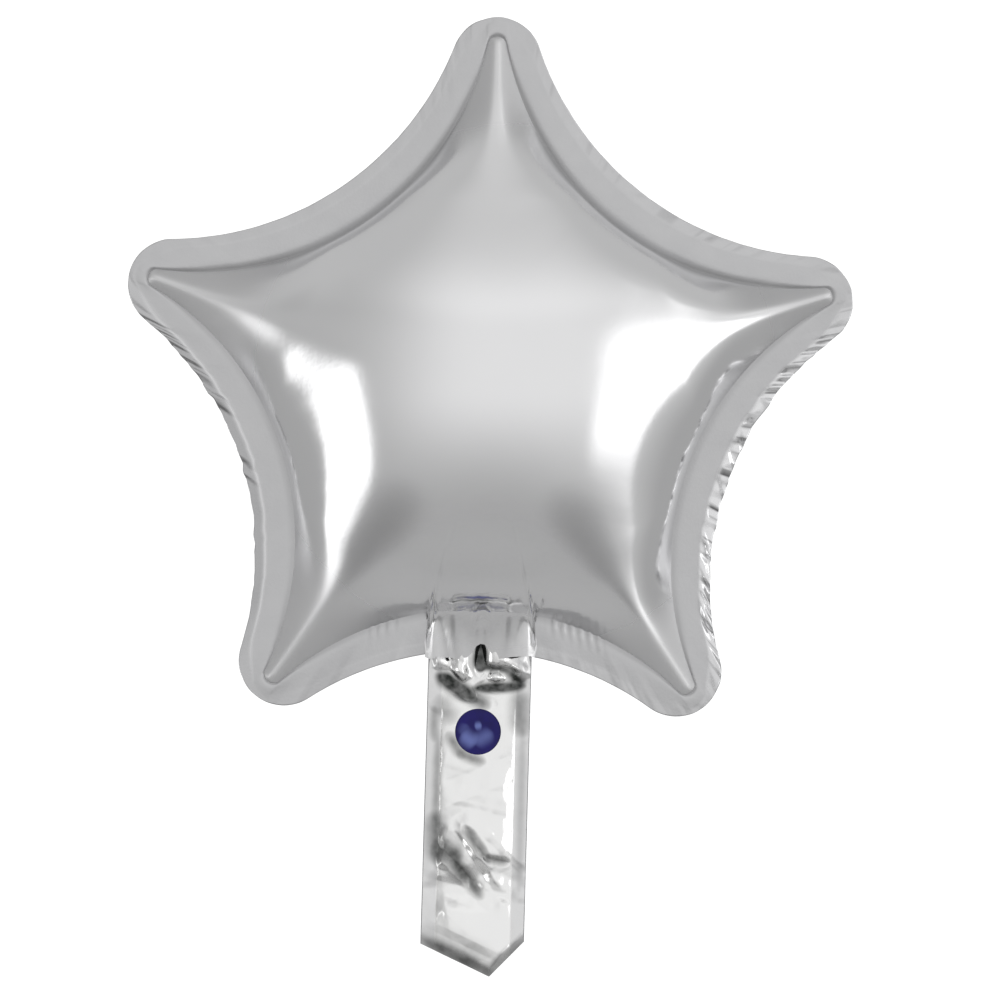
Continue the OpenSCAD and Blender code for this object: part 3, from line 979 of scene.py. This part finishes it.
# %% Silver skins
def silver_skin():
    """A slightly milky mirror, duller at the finely wrinkled ends of the points, where shade is also painted
    darker.
    """
    finish = Finish("silver_film", metallic=1.0)
    clouds = finish.noise(28 * MM, 3)
    rubbed = finish.noise(4 * MM, 4)
    x, _, z = finish.parts(finish.place())
    sideways, upwards = x - 9 * MM, z - (STAR_Z + 3 * MM)
    far = (sideways * sideways + upwards * upwards) ** 0.5
    # Ends of the points: finely wrinkled, so duller, and with shade painted darker into their colour.
    wrinkled_shaded_ends = far.rise(70 * MM, 96 * MM)               # the ends of the points, finely wrinkled
    silver = finish.blend_colour(clouds, (0.86, 0.86, 0.87), (0.90, 0.90, 0.905))
    finish.plug(base_color=finish.blend_colour(wrinkled_shaded_ends, silver, (0.76, 0.76, 0.765)),
                roughness=0.09 + 0.06 * clouds + 0.03 * rubbed + 0.36 * wrinkled_shaded_ends,
                normal=finish.bump(finish.noise(1.6 * MM, 3), 0.04, 0.2 * MM))
    return finish


def sealed_film():
    """Satin metal, glossy where marked gloss, and darkened by painted shade and painted dark reflections
    where marked.
    """
    finish = Finish("sealed_film", metallic=1.0)
    grain = finish.noise(0.9 * MM, 2)
    patches = finish.noise(9 * MM, 3)
    gloss, painted_shade = finish.marked("gloss"), finish.marked("painted_shade")
    silver = finish.blend_colour(patches, (0.56, 0.56, 0.57), (0.64, 0.64, 0.645))
    edge = finish.blend_colour(gloss, silver, (0.86, 0.86, 0.87))
    # Painted shade and painted dark reflections, blended into the colour.
    finish.plug(base_color=finish.blend_colour(painted_shade, edge, (0.05, 0.05, 0.052)),
                roughness=0.26 + 0.10 * patches + 0.06 * grain - 0.22 * gloss,
                normal=finish.bump(grain * 0.6 + patches * 0.8, 0.18, 0.5 * MM))
    return finish


def handled_film():
    """A bright mirror with hair-fine wrinkles, dull weld strips and painted shade along its creases."""
    finish = Finish("handled_film", metallic=1.0)
    clouds = finish.noise(10 * MM, 3)
    hairs = finish.noise(2.4 * MM, 5, place=finish.place((1.0, 1.0, 0.45)))
    x = finish.parts(finish.place())[0]
    welded = ((x * x) ** 0.5).rise(POUCH_HALF - 0.2 * MM, POUCH_HALF + 0.5 * MM)
    # Painted shade in the creases, the slit and beside the disc, mottled by noise.
    painted_shade = finish.marked("painted_shade") * (0.62 + 0.6 * finish.noise(3.5 * MM, 3))
    silver = finish.blend_colour(clouds, (0.95, 0.95, 0.945), (0.99, 0.99, 0.985))
    strips = finish.blend_colour(welded * 0.7, silver, (0.74, 0.74, 0.745))
    finish.plug(base_color=finish.blend_colour(painted_shade, strips, (0.035, 0.038, 0.036)),
                roughness=0.12 + 0.10 * clouds + 0.12 * welded + 0.1 * painted_shade,
                normal=finish.bump(hairs, 0.16, 0.5 * MM))
    return finish


dress(silver_skin(), front_skin, rear_skin)
dress(sealed_film(), rim, upper_welds, lower_welds)
dress(handled_film(), upper_front, upper_rear, lower_front, lower_rear)
print("silver finishes on 9 pieces")

# %% [markdown]
# The release coat is a dense blue ink, glossy where it pooled, with highlights painted into its colour as
# paler patches. The valve films are clear and faintly milky.

# %% Blue coat and clear film
def blue_coat():
    """Dense blue ink, paler where highlights are painted."""
    finish = Finish("blue_release_coat", coat_weight=0.1, coat_roughness=0.12, specular_ior_level=0.25)
    pools = finish.noise(3.2 * MM, 3)
    deep = finish.blend_colour(pools, (0.003, 0.001, 0.07), (0.012, 0.006, 0.19))
    # Paler where highlights are painted.
    finish.plug(base_color=finish.blend_colour(finish.marked("painted_highlight"), deep, (0.16, 0.20, 0.52)),
                roughness=0.28 + 0.2 * pools,
                normal=finish.bump(pools, 0.25, 0.4 * MM))
    return finish


def clear_film():
    """Clear film, unevenly milky."""
    finish = Finish("clear_valve_film", base_color=(0.9, 0.92, 0.94, 1), ior=1.5)
    milk = finish.noise(5 * MM, 3)
    finish.plug(roughness=0.08 + 0.12 * milk, alpha=0.28 + 0.14 * milk)
    return finish


dress(blue_coat(), disc)
valve_look = clear_film()
dress(valve_look, valve_front, valve_rear)
for node in ("valve_top_front_film", "valve_top_rear_film", "valve_top_welds", "valve_welds"):
    dress(valve_look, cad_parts[node])
print("blue coat on 1 piece, clear film on 6")

# %% [markdown]
# ## Light
#
# Foil has hardly any colour of its own: what one sees in it is the studio. A softly graded
# room is brightest behind the camera, grey to the sides and below, and white only far behind
# the balloon, with a small dark screen low on each side. Two tall soft boxes stand left and
# right of the camera, and their reflections are the two white crescents on the star.

# %% The room
class Room(Finish):
    """The world behind everything, built like a finish."""

    def __init__(self, name):
        world = bpy.data.worlds.new(name)
        bpy.context.scene.world = world
        world.use_nodes = True
        self.tree = world.node_tree


def soft_box(azimuth, elevation, sides, ends):
    """1 inside a patch of the room, with soft borders.

    sides and ends are each low, softness, high, softness, in degrees; azimuth is from the
    camera's side, + to the right.
    """
    patch = 1
    for value, (low, low_soft, high, high_soft) in ((azimuth, sides), (elevation, ends)):
        patch = value.rise(low - low_soft, low + low_soft) * patch
        patch = value.rise(high - high_soft, high + high_soft, 1.0, 0.0) * patch
    return patch


# Each soft box's sides and ends
LEFT_BOX = (-95, 2, -52.7, 1.5), (-28, 4, 10, 2)
RIGHT_BOX = (48, 4, 70, 1.5), (-19, 10, 60, 2)
DEGREES = 180 / np.pi


def studio_room():
    """Even grey + panel + ceiling + far white wall - screens, then the soft boxes over it."""
    room = Room("room")
    x, y, z = room.parts(room.node("ShaderNodeTexCoord", output="Generated"))
    ahead = (x * 0.26 - y * 0.97) / (1.0001 - z * z) ** 0.5    # 1 towards a panel behind the camera
    panel = ahead.rise(0.1, 1.0) * z.rise(-0.85, 0.05) * z.rise(0.6, 0.95, 1.0, 0.0)
    ceiling = 0.14 * z.rise(0.5, 0.8) * z.rise(0.85, 1.0, 1.0, 0.0)
    light = 0.40 + 0.43 * panel + ceiling + y.rise(0.90, 0.975, 0.0, 0.75)
    for side in (-1, 1):                                      # two dark screens, low on both sides
        light = light - 0.17 * (x * (0.54 * side) - y * 0.47 - z * 0.70).rise(0.955, 0.998)
    azimuth = room.node("ShaderNodeMath", {"operation": "ARCTAN2"}, {0: x, 1: 0 - y}) * DEGREES
    elevation = room.node("ShaderNodeMath", {"operation": "ARCSINE"}, {0: z}) * DEGREES
    left = soft_box(azimuth, elevation, *LEFT_BOX)
    left = left * (azimuth - elevation * 0.95).rise(-63.7, -60.3)          # its outer side slants
    right = soft_box(azimuth, elevation, *RIGHT_BOX)
    right = right * (elevation - azimuth * 1.06).rise(-37, -21, 1.0, 0.0)  # its top slants
    light = light * (1 - left) * (1 - right) + 1.6 * left + 1.5 * right
    background = room.tree.nodes["Background"]
    room.tree.links.new(light.socket, background.inputs["Strength"])
    background.inputs["Color"].default_value = (1, 1, 1, 1)


studio_room()
print("room:", len(bpy.context.scene.world.node_tree.nodes), "nodes")

# %% [markdown]
# ## The floor
#
# A plain pale floor lies a little below the tail. It is a disc that fades out into the room at
# its rim, and it is see-through from below.

# %% The floor
FLOOR_Z = -0.62
FLOOR_RADIUS, PLAIN_RADIUS = 1.05, 0.45    # its rim, and where it starts to fade


def pale_floor(columns=96, rings=12):
    """A level disc whose paint fades out from PLAIN_RADIUS to the rim."""
    turn = 2 * np.pi * np.arange(columns) / columns
    radius = np.linspace(0.02, 1, rings)[:, None] * FLOOR_RADIUS
    points = stacked(radius * np.cos(turn), radius * np.sin(turn), FLOOR_Z)
    middle = np.arange(columns)[None, :]
    floor = link_mesh("floor", points, [flipped(grid_faces(rings, columns, closed=True)), middle])
    finish = Finish("floor_paint", roughness=0.75, base_color=(0.80, 0.80, 0.80, 1))
    where = finish.node("ShaderNodeTexCoord", output="Object")
    away = finish.node("ShaderNodeVectorMath", {"operation": "LENGTH"}, {0: where}, output="Value")
    near = away.rise(PLAIN_RADIUS, FLOOR_RADIUS, 1.0, 0.0)
    under = finish.node("ShaderNodeNewGeometry", output="Backfacing")
    finish.plug(alpha=near * (1 - under))
    dress(finish, floor)
    floor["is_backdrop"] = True
    return floor


floor = pale_floor()
print(f"{floor.name}: {len(floor.data.polygons)} faces at {FLOOR_Z / MM:.0f} mm")

# %% [markdown]
# ## Check and finish
#
# The last cell compares the dressed model's box with the imported one.

# %% Sizes, and the end
look_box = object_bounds()
for axis, low, high, cad_low, cad_high in zip("xyz", *look_box, *cad_box):
    print(f"{axis}: {low / MM:.1f}..{high / MM:.1f} mm, packed {cad_low / MM:.1f}..{cad_high / MM:.1f}")
